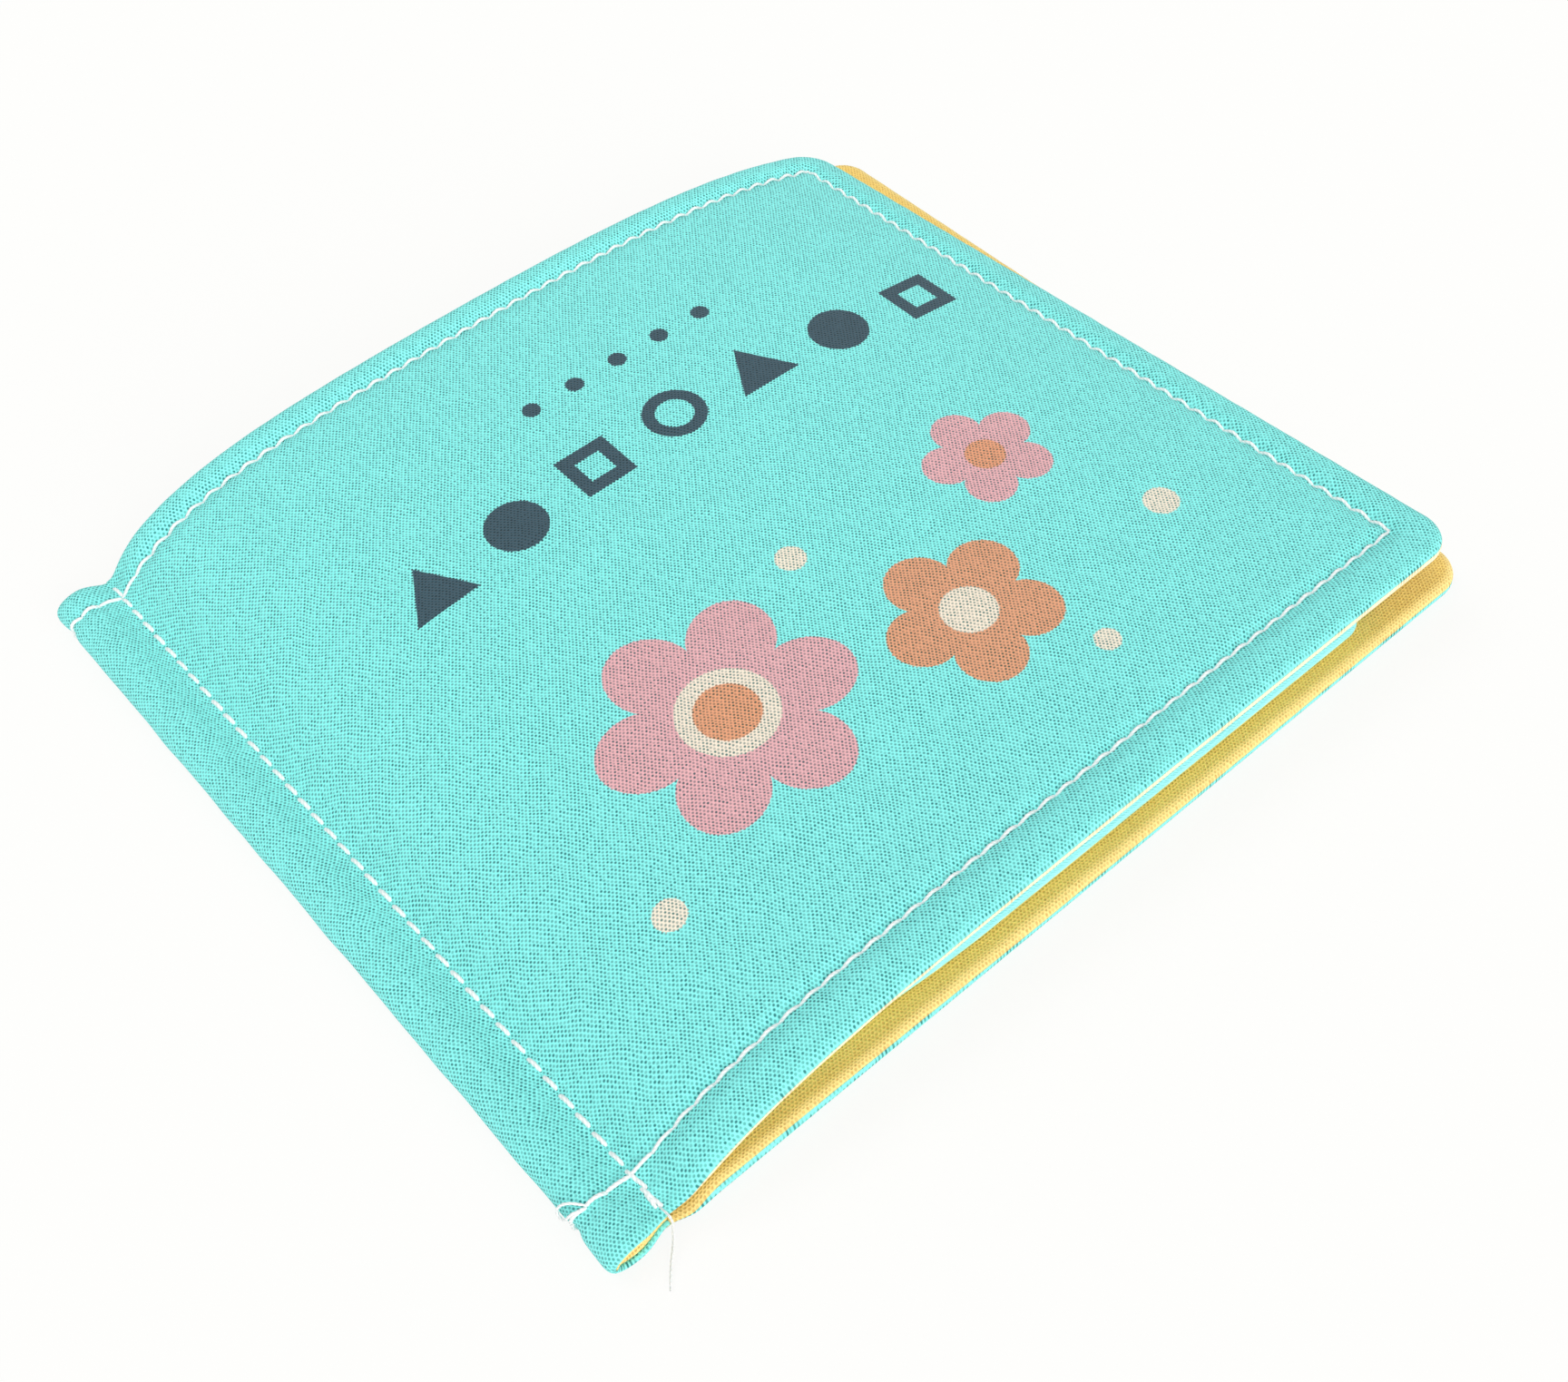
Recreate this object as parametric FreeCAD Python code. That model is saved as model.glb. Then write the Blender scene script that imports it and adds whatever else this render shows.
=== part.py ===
import FreeCAD, Part
import math
import os

os.makedirs("parts", exist_ok=True)

# Cloth book lying closed on its back cover, sizes in millimetres.
# X runs from the spine fold to the fore-edge, Y from the tail to the head, Z is up.

V = FreeCAD.Vector

# Cover sheet, as it lies
book_height = 150.0
back_reach = 174.0
front_reach = 166.5
cover_corner = 6.0
seam_x = 9.7
seam_half_gap = 0.5
hinge_gap = 0.3
edge_notch = 0.9
notch_width = 2.6
cover_bend = 20.0

# Cloth thickness, each cloth measured from the line where the two are sewn together
rim_half = 1.65
rim_round = 1.7
field_half = 1.2
cloth_gap = 0.1
pinch_half = 0.42

# Topstitching
stitch_tail = 8.0
stitch_head = 5.5
stitch_fore = 6.5
groove_depth = 1.15
groove_width = 1.3
groove_rest = 3.4
topstitch_radius = 0.27
seam_thread_radius = 0.4
thread_clear = 0.06

# Bulge of the front cover: it rises from the spine seam and sinks at the fore-edge
front_seam_z = 4.45
rise_tail = 11.4
rise_head = 13.2
rise_run = 15.0
drop_tail = 0.3
drop_head = 11.5
drop_power = 6.0

# Back cover, whose field between the stitch lines lies flat on the table
back_seam_z = 1.45
seam_lift_run = 5.0
rest_step = 0.25
rest_inset = 9.0
rest_from_seam = 10.0

# Spine strip
strip_base = 0.45
strip_height = 5.9
strip_dent = 0.45
strip_round = 4.6
strip_cloth = 0.65
strip_lining = 0.5
strip_rim_puff = 0.25

# Page sheet
page_reach_upper = 156.0
page_reach_lower = 152.5
page_inset = 3.2
page_inset_seam = 7.0
page_corner = 5.0
page_rim_half = 1.15
page_rim_round = 1.2
page_field_half = 0.95
page_pinch_half = 0.24
page_clear = 0.35
page_fan = 1.2
page_fold_x = 3.4
page_fold_arc = 4.1
page_bend = 19.7
loop_thread_radius = 0.25


def smooth(t):
    t = min(1.0, max(0.0, t))
    return t * t * (3.0 - 2.0 * t)


def mix(a, b, t):
    return a + (b - a) * t


def round_factor(d, radius):
    d = min(radius, max(0.0, d))
    return math.sqrt(max(0.0, 1.0 - (1.0 - d / radius) ** 2))


# Knots are distances along the cloth, closest at the rim and beside the stitching
def rim_knots(radius):
    return [0.0, 0.4 * radius, 1.1 * radius]


def stitched_edge_knots(stitch):
    return rim_knots(rim_round) + [stitch + groove_width * k for k in (-2, -1, 0, 1, 2)]


def from_far_end(length, knots):
    return [length - d for d in reversed(knots)]


# Where the poles stand for the surface to keep those distances
def pole_places(knots):
    ends = [knots[0]] * 3 + list(knots) + [knots[-1]] * 3
    return [sum(ends[k + 1:k + 4]) / 3.0 for k in range(len(ends) - 4)]


# Two surfaces with the same border, closed into one solid
def spline_face(grid, row_knots, column_knots):
    surface = Part.BSplineSurface()
    row_mults = [4] + [1] * (len(row_knots) - 2) + [4]
    column_mults = [4] + [1] * (len(column_knots) - 2) + [4]
    surface.buildFromPolesMultsKnots(grid, row_mults, column_mults, row_knots, column_knots,
                                     False, False, 3, 3)
    return surface


def cushion(grid_a, grid_b, row_knots, column_knots):
    surface_a = spline_face(grid_a, row_knots, column_knots)
    surface_b = spline_face(grid_b, row_knots, column_knots)
    shell = Part.makeShell([surface_a.toShape(), surface_b.toShape()])
    shell.sewShape()
    solid = Part.makeSolid(shell)
    if solid.Volume < 0:
        solid.reverse()
    return solid, surface_a, surface_b


# A cloth leaf is a grid of points on its middle surface, with a normal at each
def grid_normals(mid):
    rows = len(mid)
    cols = len(mid[0])
    out = []
    for j in range(rows):
        line = []
        for i in range(cols):
            du = mid[j][min(i + 1, cols - 1)] - mid[j][max(i - 1, 0)]
            dv = mid[min(j + 1, rows - 1)][i] - mid[max(j - 1, 0)][i]
            n = du.cross(dv)
            n.normalize()
            line.append(n)
        out.append(line)
    return out


def offset_grid(mid, normals, amounts):
    return [[mid[j][i] + normals[j][i] * amounts[j][i] for i in range(len(mid[0]))]
            for j in range(len(mid))]


# Outline of a cover in plan: three sewn edges with rounded corners, and the seam side
cover_start = seam_x + seam_half_gap + hinge_gap


# Knots from the tail edge to the head edge, with a number of equal fields between the grooves
def side_knots(fields):
    low = stitch_tail + 2.0 * groove_width + groove_rest
    high = book_height - stitch_head - 2.0 * groove_width - groove_rest
    field = [mix(low, high, k / fields) for k in range(fields + 1)]
    return stitched_edge_knots(stitch_tail) + field + from_far_end(book_height, stitched_edge_knots(stitch_head))


def corner_end(reach, corner, edge_distance):
    if edge_distance >= corner:
        return reach
    return reach - corner + math.sqrt(corner ** 2 - (corner - edge_distance) ** 2)


def outline_distance(x, y, reach, low, high, corner):
    from_fore = reach - x
    from_side = min(y - low, high - y)
    if from_fore < corner and from_side < corner:
        return corner - math.hypot(corner - from_fore, corner - from_side)
    return min(from_fore, from_side)


def notched(x, y):
    pull = edge_notch * math.exp(-((x - seam_x) / notch_width) ** 2)
    fade_tail = smooth(1.0 - y / 12.0)
    fade_head = smooth(1.0 - (book_height - y) / 12.0)
    return y + pull * (fade_tail - fade_head)


# Knots from the seam to the fore-edge, as distances from the cover's start
def cover_knots(reach):
    length = reach - cover_start
    near = [0.0, 0.6, 1.2, 3.0, 5.5, 9.0, 14.0, cover_bend]
    far = length - stitch_fore - 2.0 * groove_width
    field = [mix(cover_bend, far, f) for f in (0.12, 0.3, 0.5, 0.7, 0.85, 0.95)]
    return near + field + from_far_end(length, stitched_edge_knots(stitch_fore))


# A row shortened by a rounded corner is drawn in beyond the bend
def drawn_in(place, bend, length, short):
    if place <= bend:
        return place
    return bend + (place - bend) * (short - bend) / (length - bend)


# Half the thickness of a cover, and how deep the topstitching pulls it in
def cover_section(x, y, reach):
    from_fore = reach - x
    from_head = book_height - y
    puff = max(smooth((stitch_tail + 0.5 - y) / (0.5 * stitch_tail)),
               smooth((stitch_head + 0.5 - from_head) / (0.5 * stitch_head)),
               smooth((stitch_fore + 0.5 - from_fore) / (0.5 * stitch_fore)))
    along_x = smooth((from_fore - stitch_fore + 1.0) / 2.0)
    along_y = smooth((y - stitch_tail + 1.0) / 2.0) * smooth((from_head - stitch_head + 1.0) / 2.0)
    dent = max(math.exp(-((y - stitch_tail) / groove_width) ** 2) * along_x,
               math.exp(-((from_head - stitch_head) / groove_width) ** 2) * along_x,
               math.exp(-((from_fore - stitch_fore) / groove_width) ** 2) * along_y)
    spread = smooth((x - cover_start) / 8.0)
    half = mix(pinch_half, mix(field_half, rim_half, puff), spread)
    return half, groove_depth * dent * spread


def front_middle(x, y):
    run = x - cover_start
    toward_head = y / book_height
    rise = mix(rise_tail, rise_head, toward_head)
    drop = mix(drop_tail, drop_head, toward_head)
    share = max(0.0, run / (front_reach - cover_start))
    return front_seam_z + rise * (1.0 - math.exp(-run / rise_run)) - drop * share ** drop_power


def back_middle(x, y):
    half = cover_section(x, y, back_reach)[0]
    return mix(back_seam_z, half + rest_step, smooth((x - cover_start) / seam_lift_run))


def cover_cloths(reach, middle, flat):
    mid = []
    outer = []
    inner = []
    row_knots = side_knots(4)
    column_knots = cover_knots(reach)
    length = reach - cover_start
    for y in pole_places(row_knots):
        short = corner_end(length, cover_corner, min(y, book_height - y))
        mid_row = []
        outer_row = []
        inner_row = []
        for place in pole_places(column_knots):
            x = cover_start + drawn_in(place, cover_bend, length, short)
            distance = outline_distance(x, y, reach, 0.0, book_height, cover_corner)
            half, dent = cover_section(x, y, reach)
            soft = round_factor(distance, rim_round) * round_factor(x - cover_start, 0.6)
            mid_row.append(V(x, notched(x, y), middle(x, y)))
            outer_row.append(cloth_gap / 2 + (half - dent - cloth_gap / 2) * soft)
            inner_row.append(cloth_gap / 2 + (half - 0.6 * dent - cloth_gap / 2) * soft)
        mid.append(mid_row)
        outer.append(outer_row)
        inner.append(inner_row)
    if flat:
        normals = [[V(0, 0, 1) for p in row] for row in mid]
    else:
        normals = grid_normals(mid)
    side = -1.0 if flat else 1.0
    mate = [[side * cloth_gap / 2 for a in row] for row in outer]
    mate_inner = [[-side * cloth_gap / 2 for a in row] for row in outer]
    outside = offset_grid(mid, normals, [[side * a for a in row] for row in outer])
    inside = offset_grid(mid, normals, [[-side * a for a in row] for row in inner])
    cloth = cushion(outside, offset_grid(mid, normals, mate), row_knots, column_knots)
    lining = cushion(inside, offset_grid(mid, normals, mate_inner), row_knots, column_knots)
    return cloth, lining


# The pressed field of the back cover is one plane
def rested(cloth):
    low_x = cover_start + rest_from_seam
    low_y = stitch_tail + rest_inset
    wide = back_reach - stitch_fore - rest_inset - low_x
    tall = book_height - stitch_head - rest_inset - low_y
    field = Part.makeBox(wide, tall, rest_step + 0.5 * field_half, V(low_x, low_y, 0.0))
    return cloth.fuse(field).Solids[0]


# Spine strip: the cover sheet folded round, from the top seam to the bottom seam
strip_right = seam_x + seam_half_gap
strip_level = strip_right - strip_round
strip_tall = (strip_height - strip_base) / 2
strip_arc = math.pi * math.sqrt((strip_round ** 2 + strip_tall ** 2) / 2)


def strip_knots():
    half = strip_level + 0.5 * strip_arc
    top = [0.0, 0.9, 1.5, 3.9, strip_level + 0.6]
    fold = [mix(strip_level + 0.6, half, k / 3.0) for k in (1, 2)]
    return top + fold + [half] + from_far_end(2.0 * half, top + fold)


def strip_spot(place):
    flank = seam_x - 0.4 - strip_round
    whole = 2.0 * strip_level + strip_arc
    if place < strip_level:
        x = strip_right - place
        return x, mix(strip_height, front_seam_z + pinch_half, smooth((x - strip_round) / flank))
    if place > strip_level + strip_arc:
        x = strip_right - (whole - place)
        return x, mix(strip_base, back_seam_z - pinch_half, smooth((x - strip_round) / flank))
    turn = math.radians(90.0 + 180.0 * (place - strip_level) / strip_arc)
    return strip_round + strip_round * math.cos(turn), strip_base + strip_tall * (1.0 + math.sin(turn))


def path_normals(path):
    out = []
    for i in range(len(path)):
        a = path[max(i - 1, 0)]
        b = path[min(i + 1, len(path) - 1)]
        dx = b[0] - a[0]
        dz = b[1] - a[1]
        size = math.hypot(dx, dz)
        out.append((dz / size, -dx / size))
    return out


def spine_cloths():
    row_knots = side_knots(3)
    path_knots = strip_knots()
    places = pole_places(path_knots)
    outline = [strip_spot(place) for place in places]
    facing = path_normals(outline)
    outside = []
    mate_out = []
    mate_in = []
    inside = []
    for y in pole_places(row_knots):
        soft_end = round_factor(min(y, book_height - y), rim_round)
        puff = strip_rim_puff * max(smooth(1.3 - y / stitch_tail), smooth(1.3 - (book_height - y) / stitch_head))
        dent = strip_dent * max(math.exp(-((y - stitch_tail) / groove_width) ** 2),
                               math.exp(-((book_height - y - stitch_head) / groove_width) ** 2))
        lines = [[], [], [], []]
        for i, (x, z) in enumerate(outline):
            nx, nz = facing[i]
            soft = soft_end * round_factor(min(places[i], places[-1] - places[i]), 0.3)
            away = smooth((seam_x - 0.6 - x) / 2.0)
            skin = (puff - dent) * away if z > strip_height / 2 else -dent * away
            levels = (-strip_cloth + (strip_cloth + skin) * soft, -strip_cloth,
                      -strip_cloth - cloth_gap, -strip_cloth - cloth_gap - strip_lining * soft)
            for line, level in zip(lines, levels):
                line.append(V(x + nx * level, notched(x, y), z + nz * level))
        outside.append(lines[0])
        mate_out.append(lines[1])
        mate_in.append(lines[2])
        inside.append(lines[3])
    return (cushion(outside, mate_out, row_knots, path_knots),
            cushion(inside, mate_in, row_knots, path_knots))


# Page sheet: one sheet folded inside the spine, two leaves stacked on the back cover
page_seam_low = back_seam_z + 1.17
page_seam_gap = 0.14


def page_low_edge(x):
    return mix(page_inset_seam, page_inset, smooth((x - cover_start) / 60.0))


def page_half(x, y):
    from_side = min(y - page_low_edge(x), book_height - page_low_edge(x) - y)
    puff = smooth((5.0 - from_side) / 3.0)
    return mix(page_pinch_half, mix(page_field_half, page_rim_half, puff), smooth((x - seam_x) / 9.0))


def lower_leaf_z(x, y):
    half = page_half(x, y)
    back_top = back_middle(x, y) + cover_section(x, y, back_reach)[0]
    return mix(page_seam_low, back_top + page_clear + half, smooth((x - seam_x - 0.5) / 7.0))


def upper_leaf_z(x, y):
    spread = smooth((x - seam_x - 0.5) / 7.0)
    fan = page_fan * (1.0 - y / book_height) * smooth((x - 30.0) / 60.0)
    return lower_leaf_z(x, y) + 2.0 * page_half(x, y) + mix(page_seam_gap, page_clear, spread) + fan


# Knots of one leaf, as distances from the middle of the fold out to the fore-edge
def leaf_knots(reach):
    length = reach - page_fold_x + 0.5 * page_fold_arc
    fold = [0.25 * page_fold_arc, 0.5 * page_fold_arc]
    near = [seam_x + d - page_fold_x + 0.5 * page_fold_arc for d in (-4.5, -2.0, 0.0, 2.0, 4.2, 6.8, 10.0)]
    field = [mix(near[-1], length - 4.0, f) for f in (0.1, 0.25, 0.42, 0.6, 0.78, 0.92, 1.0)]
    return fold + near + field + from_far_end(length, rim_knots(page_rim_round))


def page_sheet():
    half = 0.5 * book_height
    side = rim_knots(page_rim_round) + [3.5, 6.5, 13.0]
    side += [mix(13.0, half, k / 3.0) for k in (1, 2)]
    row_knots = side + [half] + from_far_end(book_height, side)
    upper = leaf_knots(page_reach_upper)
    lower = leaf_knots(page_reach_lower)
    path_knots = [-d for d in reversed(upper)] + [0.0] + lower
    mid = []
    amounts = []
    for row in pole_places(row_knots):
        depth = min(row, book_height - row)
        mid_row = []
        amount_row = []
        for place in pole_places(path_knots):
            reach = page_reach_upper if place < 0.0 else page_reach_lower
            x = max(page_fold_x, abs(place) - 0.5 * page_fold_arc + page_fold_x)
            x = drawn_in(x, page_bend, reach, corner_end(reach, page_corner, depth))
            low = page_low_edge(x)
            y = mix(low, book_height - low, row / book_height)
            z = upper_leaf_z(x, y) if place < 0.0 else lower_leaf_z(x, y)
            distance = outline_distance(x, y, reach, low, book_height - low, page_corner)
            if abs(place) < 0.5 * page_fold_arc:
                turn = math.pi * place / page_fold_arc
                top_z = upper_leaf_z(x, y)
                low_z = lower_leaf_z(x, y)
                radius = (top_z - low_z) / 2
                x = page_fold_x - radius * math.cos(turn)
                z = (top_z + low_z) / 2 - radius * math.sin(turn)
            mid_row.append(V(x, y, z))
            amount_row.append(page_half(x, y) * round_factor(distance, page_rim_round))
        mid.append(mid_row)
        amounts.append(amount_row)
    normals = grid_normals(mid)
    outer_grid = offset_grid(mid, normals, amounts)
    inner_grid = offset_grid(mid, normals, [[-a for a in row] for row in amounts])
    return cushion(outer_grid, inner_grid, row_knots, path_knots)[0]


# Threads lie on the cloth, in the groove that they pull
def on_cloth(surface, x, y, z, lift, upward):
    u, v = surface.parameter(V(x, y, z))
    point = surface.value(u, v)
    normal = surface.normal(u, v)
    if normal.z * upward < 0:
        normal = normal * -1.0
    return point + normal * lift


def thread(points, radius, hint):
    rings = []
    for i, point in enumerate(points):
        ahead = points[min(i + 1, len(points) - 1)] - points[max(i - 1, 0)]
        side = ahead.cross(hint)
        side.normalize()
        across = side.cross(ahead)
        across.normalize()
        turns = [math.radians(60 * k) for k in range(7)]
        rings.append(Part.makePolygon([point + side * (radius * math.cos(a)) + across * (radius * math.sin(a))
                                       for a in turns]))
    return Part.makeLoft(rings, True, True)


def cover_topstitch(surface, reach, middle, upward):
    right = reach - stitch_fore
    head = book_height - stitch_head
    left = cover_start + 0.8
    shares = [(k / 22.0) ** 1.7 for k in range(22)]
    spots = [(mix(left, right, f), stitch_tail) for f in shares]
    spots += [(right - 1.2, stitch_tail), (right - 0.3, stitch_tail + 0.3), (right, stitch_tail + 1.2)]
    spots += [(right, mix(stitch_tail, head, k / 10.0)) for k in range(1, 10)]
    spots += [(right, head - 1.2), (right - 0.3, head - 0.3), (right - 1.2, head)]
    spots += [(mix(left, right, f), head) for f in reversed(shares)]
    lift = topstitch_radius + thread_clear
    points = [on_cloth(surface, x, notched(x, y), middle(x, y), lift, upward) for x, y in spots]
    return thread(points, topstitch_radius, V(0, 0, 1))


# The seam goes through everything; its thread shows on both faces and wraps the tail edge
def seam_threads(top_surface):
    seam_top = front_seam_z + pinch_half
    seam_bottom = back_seam_z - pinch_half
    away = seam_thread_radius + thread_clear
    top_z = seam_top + away
    low_z = seam_bottom - away
    edge = edge_notch - away
    head = book_height - edge_notch - 0.6
    needle = [V(seam_x, head, top_z), V(seam_x, 0.5 * book_height, top_z), V(seam_x, 2.6, top_z)]
    needle += [V(seam_x, edge + 0.7, top_z - 0.15), V(seam_x, edge, top_z - 1.0)]
    needle += [V(seam_x - 0.1, edge - 0.6, 0.5 * top_z), V(seam_x - 0.6, edge - 2.2, 1.1)]
    needle += [V(seam_x - 1.6, edge - 4.4, seam_thread_radius + 0.1), V(seam_x - 2.4, edge - 6.2, 0.55)]
    bobbin = [V(seam_x, 1.9, low_z), V(seam_x, 0.5 * book_height, low_z), V(seam_x, head, low_z)]
    hint = V(1, 0, 0)
    return thread(needle, seam_thread_radius, hint), thread(bobbin, seam_thread_radius, hint)


# Topstitching carried over the spine strip and round its fold
def spine_stitch(surface, y):
    lift = topstitch_radius + thread_clear
    centre = (strip_height + strip_base) / 2
    tall = strip_height - centre
    inner = seam_x - seam_thread_radius - topstitch_radius - 0.25
    spots = [(mix(inner, strip_round + 0.5, k / 4.0), strip_height, 1) for k in range(5)]
    spots += [(strip_round + strip_round * math.cos(math.radians(a)), centre + tall * math.sin(math.radians(a)), 0)
              for a in range(100, 261, 10)]
    spots += [(mix(strip_round + 0.5, inner, k / 4.0), strip_base, -1) for k in range(5)]
    points = [on_strip(surface, x, y, z, lift) for x, z, side in spots]
    return thread(points, topstitch_radius, V(0, 1, 0))


def on_strip(surface, x, y, z, lift):
    u, v = surface.parameter(V(x, y, z))
    point = surface.value(u, v)
    normal = surface.normal(u, v)
    centre = V(strip_round + 2.0, y, (strip_height + strip_base) / 2)
    if normal.dot(point - centre) < 0:
        normal = normal * -1.0
    return point + normal * lift


# Loose loop of thread left on the strip where the tail stitching begins
def loose_loop(surface):
    centre_x = 3.6
    centre_y = stitch_tail + 2.6
    spots = [(centre_x + 2.4, stitch_tail + 0.9)]
    spots += [(centre_x - 1.9 * math.cos(math.radians(a)), centre_y - 1.1 * math.sin(math.radians(a)))
              for a in (140, 90, 40, -5, -50, -100)]
    points = [on_cloth(surface, x, y, strip_height, topstitch_radius + thread_clear, 1) for x, y in spots]
    return thread(points, loop_thread_radius, V(0, 0, 1))


front_cloth, front_lining = cover_cloths(front_reach, front_middle, False)
back_cloth, back_lining = cover_cloths(back_reach, back_middle, True)
back_outer = rested(back_cloth[0])
spine_cloth, spine_lining = spine_cloths()
pages = page_sheet()
needle_thread, bobbin_thread = seam_threads(spine_cloth[1])

pieces = {
    "front_cover_cloth": front_cloth[0],
    "front_cover_lining": front_lining[0],
    "back_cover_cloth": back_outer,
    "back_cover_lining": back_lining[0],
    "spine_cloth": spine_cloth[0],
    "spine_lining": spine_lining[0],
    "page_sheet": pages,
    "seam_needle_thread": needle_thread,
    "seam_bobbin_thread": bobbin_thread,
    "spine_stitch_head": spine_stitch(spine_cloth[1], book_height - stitch_head),
    "spine_stitch_tail": spine_stitch(spine_cloth[1], stitch_tail),
    "loose_thread_loop": loose_loop(spine_cloth[1]),
    "front_topstitch": cover_topstitch(front_cloth[1], front_reach, front_middle, 1),
    "back_topstitch": cover_topstitch(back_cloth[1], back_reach, back_middle, -1),
}

# The origin is under the middle of the whole book, on the table
box = Part.makeCompound(list(pieces.values())).optimalBoundingBox()
to_origin = V(-box.Center.x, -box.Center.y, 0.0)
for name, solid in pieces.items():
    solid.translate(to_origin)
    solid.exportStep("parts/" + name + ".step")
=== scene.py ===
import math
import bpy
import numpy as np
from mathutils import Matrix, Vector


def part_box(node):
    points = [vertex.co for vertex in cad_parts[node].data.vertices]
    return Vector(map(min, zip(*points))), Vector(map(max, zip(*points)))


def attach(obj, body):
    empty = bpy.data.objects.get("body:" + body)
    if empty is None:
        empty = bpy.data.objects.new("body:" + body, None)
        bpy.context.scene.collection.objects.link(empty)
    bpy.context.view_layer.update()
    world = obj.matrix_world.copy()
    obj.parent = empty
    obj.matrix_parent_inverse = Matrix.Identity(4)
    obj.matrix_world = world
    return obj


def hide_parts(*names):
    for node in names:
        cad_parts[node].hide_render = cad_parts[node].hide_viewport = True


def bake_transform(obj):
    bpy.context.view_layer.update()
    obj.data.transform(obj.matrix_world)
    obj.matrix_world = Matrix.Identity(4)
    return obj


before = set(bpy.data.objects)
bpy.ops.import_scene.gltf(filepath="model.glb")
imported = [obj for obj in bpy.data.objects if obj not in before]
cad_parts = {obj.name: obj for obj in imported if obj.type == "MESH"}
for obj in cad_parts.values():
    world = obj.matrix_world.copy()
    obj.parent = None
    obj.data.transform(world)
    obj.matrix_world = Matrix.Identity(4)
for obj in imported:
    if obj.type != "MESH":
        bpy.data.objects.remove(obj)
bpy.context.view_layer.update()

# Sizes in millimetres on the part's own axes: X from the spine fold, Y from the tail, Z up
BOOK_HEIGHT = 150.0
BACK_REACH = 174.0
FRONT_REACH = 166.5
COVER_CORNER = 6.0
SEAM_X = 9.7
COVER_START = 10.5
EDGE_NOTCH = 0.9
NOTCH_WIDTH = 2.6
RIM_HALF = 1.65
RIM_ROUND = 1.7
FIELD_HALF = 1.2
CLOTH_GAP = 0.1
PINCH_HALF = 0.42
FRONT_TURN = (9.0, 19.0)
BACK_TURN = (32.0, 14.0)
STRIP_TURN = (-6.0, 42.0)
STITCH_TAIL = 8.0
STITCH_HEAD = 5.5
STITCH_FORE = 6.5
GROOVE_WIDTH = 1.3
FRONT_SEAM_Z = 4.45
RISE_TAIL = 11.4
RISE_HEAD = 13.2
RISE_RUN = 15.0
DROP_TAIL = 0.3
DROP_HEAD = 11.5
DROP_POWER = 6.0
BACK_SEAM_Z = 1.45
SEAM_LIFT_RUN = 5.0
REST_STEP = 0.25
STRIP_BASE = 0.45
STRIP_HEIGHT = 5.9
STRIP_ROUND = 4.6
STRIP_CLOTH = 0.65
STRIP_LINING = 0.5
PAGE_REACH_UPPER = 156.0
PAGE_REACH_LOWER = 152.5
PAGE_INSET = 3.2
PAGE_INSET_SEAM = 7.0
PAGE_CORNER = 5.0
PAGE_RIM_HALF = 1.15
PAGE_RIM_ROUND = 1.2
PAGE_FIELD_HALF = 0.95
PAGE_PINCH_HALF = 0.24
PAGE_CLEAR = 0.35
PAGE_FAN = 1.2
PAGE_FOLD_X = 3.4
PAGE_SEAM_LOW = BACK_SEAM_Z + 1.17
PAGE_SEAM_GAP = 0.14
STITCH = 3.65
SEAM_FIRST = 2.2
SEAM_LAST = 2.0
THREAD = 0.27
SEAM_THREAD = 0.33

# Mesh steps in millimetres: fine along the stitched edges, wide in between
FINE_TAIL = 11.0
FINE_HEAD = 8.5
FINE_FORE = 9.0
FINE_STEP = 0.45
WIDE_STEP = 0.95
PAGE_FINE = 9.0
PAGE_FINE_STEP = 0.6
PAGE_WIDE_STEP = 1.35

# Camera, solved from the photo: turn, height and tilt of the view in degrees, lengths in metres
CAMERA_AZIMUTH = -37.3
CAMERA_ELEVATION = 51.8
CAMERA_ROLL = -4.5
CAMERA_DISTANCE = 0.310
CAMERA_AIM = (75.0, 75.0, 3.0)
AIM_RIGHT = 0.014
AIM_UP = -0.0096
FOCAL_PIXELS = 2136.0
PHOTO_PIXELS = 1728.0
SENSOR_WIDTH = 36.0

# Light: strength of the sky, and how much of the floor's colour is its own white
SKY_STRENGTH = 0.60
FLOOR_WHITE = 0.88
FLOOR_HALF = 2.5
KEY_STRENGTH = 0.78
FILL_STRENGTH = 2.0

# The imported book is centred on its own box
shift = np.array([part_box("back_cover_cloth")[1].x * 1000 - BACK_REACH,
                  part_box("back_cover_cloth")[0].y * 1000, 0.0])


def metres(points):
    return (np.asarray(points, float) + shift) * 0.001


# Camera
def view_axes(azimuth, elevation, roll):
    a, e, r = (math.radians(v) for v in (azimuth, elevation, roll))
    back = Vector((math.sin(a) * math.cos(e), -math.cos(a) * math.cos(e), math.sin(e)))
    level = Vector((0, 0, 1)).cross(back).normalized()
    above = back.cross(level)
    right = level * math.cos(r) + above * math.sin(r)
    up = above * math.cos(r) - level * math.sin(r)
    return right, up, back


right, up, back = view_axes(CAMERA_AZIMUTH, CAMERA_ELEVATION, CAMERA_ROLL)
target = Vector(metres(CAMERA_AIM)) + right * AIM_RIGHT + up * AIM_UP
place = Matrix((right, up, back)).transposed().to_4x4()
place.translation = target + back * CAMERA_DISTANCE
camera = bpy.data.objects.new("camera", bpy.data.cameras.new("camera"))
camera.data.sensor_width = SENSOR_WIDTH
camera.data.lens = FOCAL_PIXELS / PHOTO_PIXELS * SENSOR_WIDTH
camera.data.clip_start = 0.01
camera.matrix_world = place
bpy.context.scene.collection.objects.link(camera)
bpy.context.scene.camera = camera
bpy.context.scene.view_settings.view_transform = "Standard"


# Shape of the cloths
def smooth(t):
    t = np.clip(t, 0.0, 1.0)
    return t * t * (3.0 - 2.0 * t)


def mix(a, b, t):
    return a + (b - a) * t


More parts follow.
